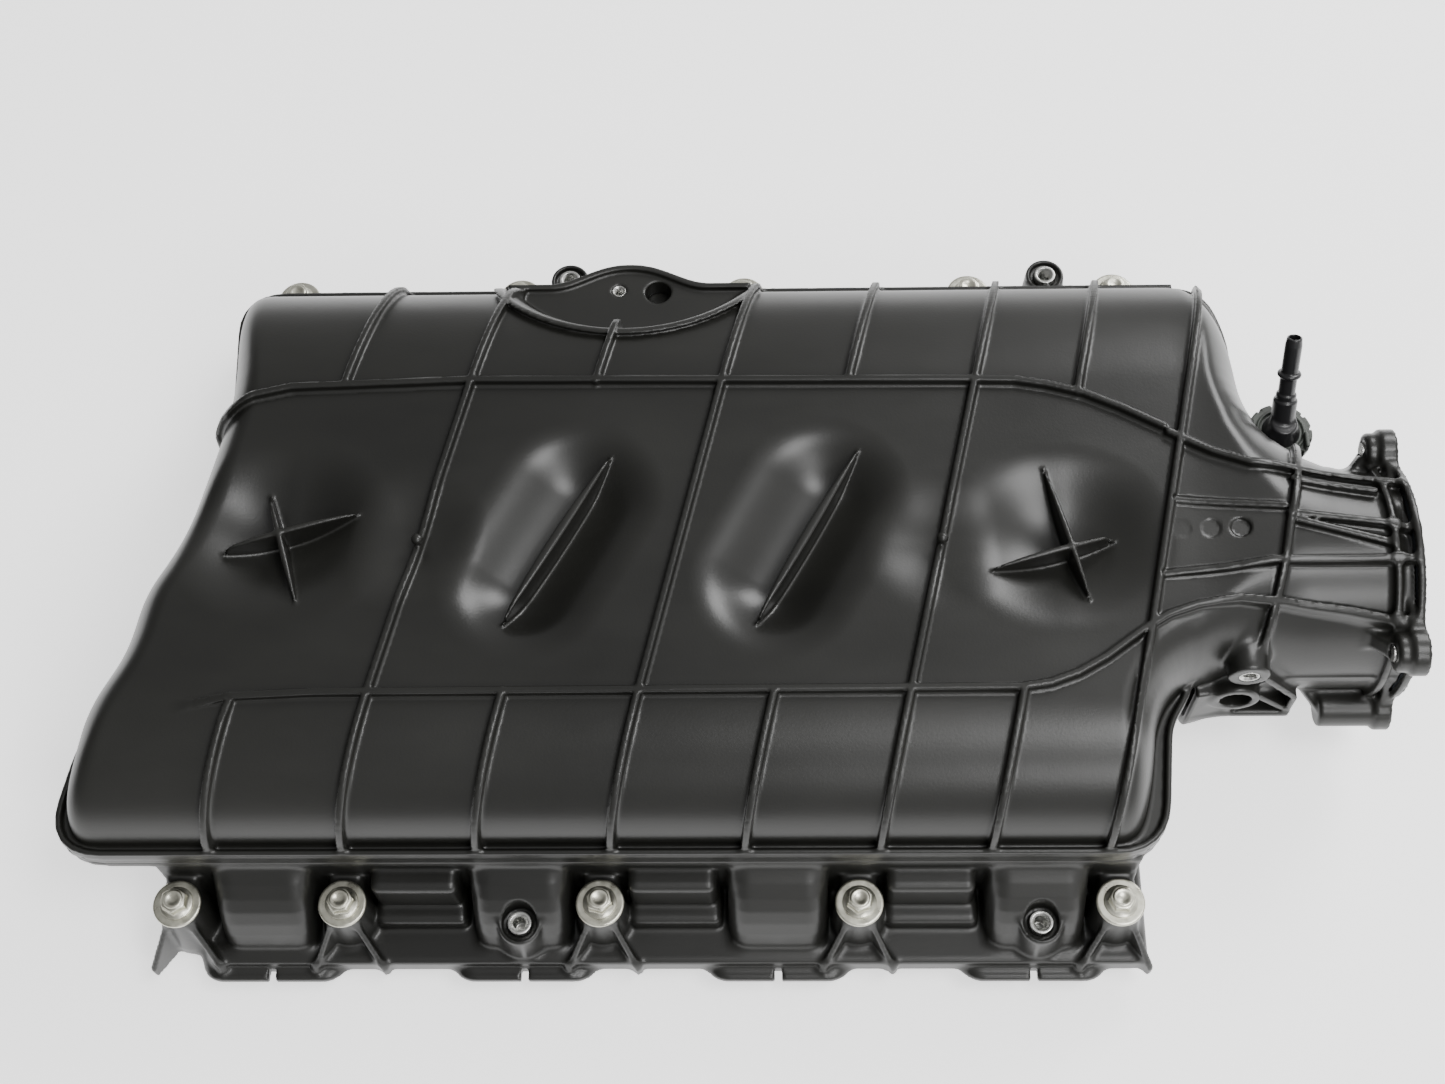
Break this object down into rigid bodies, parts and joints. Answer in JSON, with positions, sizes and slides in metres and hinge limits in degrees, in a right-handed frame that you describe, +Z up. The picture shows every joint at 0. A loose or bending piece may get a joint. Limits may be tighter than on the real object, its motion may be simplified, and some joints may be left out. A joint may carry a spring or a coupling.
{
  "type": "intake manifold",
  "caption": "Moulded engine intake manifold: ribbed plenum over eight runners, side throttle neck, two sloping port flanges with captive bolts.",
  "frame": {"origin": "under the middle of the bounding box, on the plane of the port faces' inner edges", "axes": "+X along the engine towards the throttle, +Y across the engine, +Z up"},
  "size_m": [0.5861, 0.364, 0.1208],
  "materials": {
    "black_nylon": "satin moulded glass-filled nylon",
    "zinc_steel": "zinc-nickel plated steel",
    "plain_steel": "turned steel",
    "seal_rubber": "moulded silicone rubber",
    "fitting_black": "semi-gloss nylon",
    "collar_grey": "weathered grey-green nylon"
  },
  "bodies": {
    "manifold": {"upper_shell": "black_nylon", "middle_shell": "black_nylon", "lower_shell": "black_nylon", "bolt_sleeve_1": "zinc_steel", "bolt_sleeve_2": "zinc_steel", "bolt_sleeve_3": "zinc_steel", "bolt_sleeve_4": "zinc_steel", "bolt_sleeve_5": "zinc_steel", "bolt_sleeve_6": "zinc_steel", "bolt_sleeve_7": "zinc_steel", "bolt_sleeve_8": "zinc_steel", "bolt_sleeve_9": "zinc_steel", "bolt_sleeve_10": "zinc_steel", "port_seal_1": "seal_rubber", "port_seal_2": "seal_rubber", "port_seal_3": "seal_rubber", "port_seal_4": "seal_rubber", "port_seal_5": "seal_rubber", "port_seal_6": "seal_rubber", "port_seal_7": "seal_rubber", "port_seal_8": "seal_rubber", "cover_insert_1": "plain_steel", "cover_insert_2": "plain_steel", "cover_insert_3": "plain_steel", "cover_insert_4": "plain_steel", "throttle_insert_1": "plain_steel", "throttle_insert_2": "plain_steel", "throttle_insert_3": "plain_steel", "throttle_insert_4": "plain_steel", "throttle_seal": "seal_rubber", "sensor_screw_insert": "plain_steel", "side_sensor_insert": "plain_steel", "vacuum_fitting": "fitting_black", "fitting_cap": "collar_grey", "fitting_seal": "seal_rubber"},
    "bolt_1": {"intake_bolt_1": "zinc_steel"},
    "bolt_2": {"intake_bolt_2": "zinc_steel"},
    "bolt_3": {"intake_bolt_3": "zinc_steel"},
    "bolt_4": {"intake_bolt_4": "zinc_steel"},
    "bolt_5": {"intake_bolt_5": "zinc_steel"},
    "bolt_6": {"intake_bolt_6": "zinc_steel"},
    "bolt_7": {"intake_bolt_7": "zinc_steel"},
    "bolt_8": {"intake_bolt_8": "zinc_steel"},
    "bolt_9": {"intake_bolt_9": "zinc_steel"},
    "bolt_10": {"intake_bolt_10": "zinc_steel"}
  },
  "joints": [
    {"name": "bolt_1_slide", "type": "slide", "parent": "manifold", "child": "bolt_1", "axis": [0, 0, 1], "range_m": [0, 0.01]},
    {"name": "bolt_2_slide", "type": "slide", "parent": "manifold", "child": "bolt_2", "axis": [0, 0, 1], "range_m": [0, 0.01]},
    {"name": "bolt_3_slide", "type": "slide", "parent": "manifold", "child": "bolt_3", "axis": [0, 0, 1], "range_m": [0, 0.01]},
    {"name": "bolt_4_slide", "type": "slide", "parent": "manifold", "child": "bolt_4", "axis": [0, 0, 1], "range_m": [0, 0.01]},
    {"name": "bolt_5_slide", "type": "slide", "parent": "manifold", "child": "bolt_5", "axis": [0, 0, 1], "range_m": [0, 0.01]},
    {"name": "bolt_6_slide", "type": "slide", "parent": "manifold", "child": "bolt_6", "axis": [0, 0, 1], "range_m": [0, 0.01]},
    {"name": "bolt_7_slide", "type": "slide", "parent": "manifold", "child": "bolt_7", "axis": [0, 0, 1], "range_m": [0, 0.01]},
    {"name": "bolt_8_slide", "type": "slide", "parent": "manifold", "child": "bolt_8", "axis": [0, 0, 1], "range_m": [0, 0.01]},
    {"name": "bolt_9_slide", "type": "slide", "parent": "manifold", "child": "bolt_9", "axis": [0, 0, 1], "range_m": [0, 0.01]},
    {"name": "bolt_10_slide", "type": "slide", "parent": "manifold", "child": "bolt_10", "axis": [0, 0, 1], "range_m": [0, 0.01]}
  ]
}
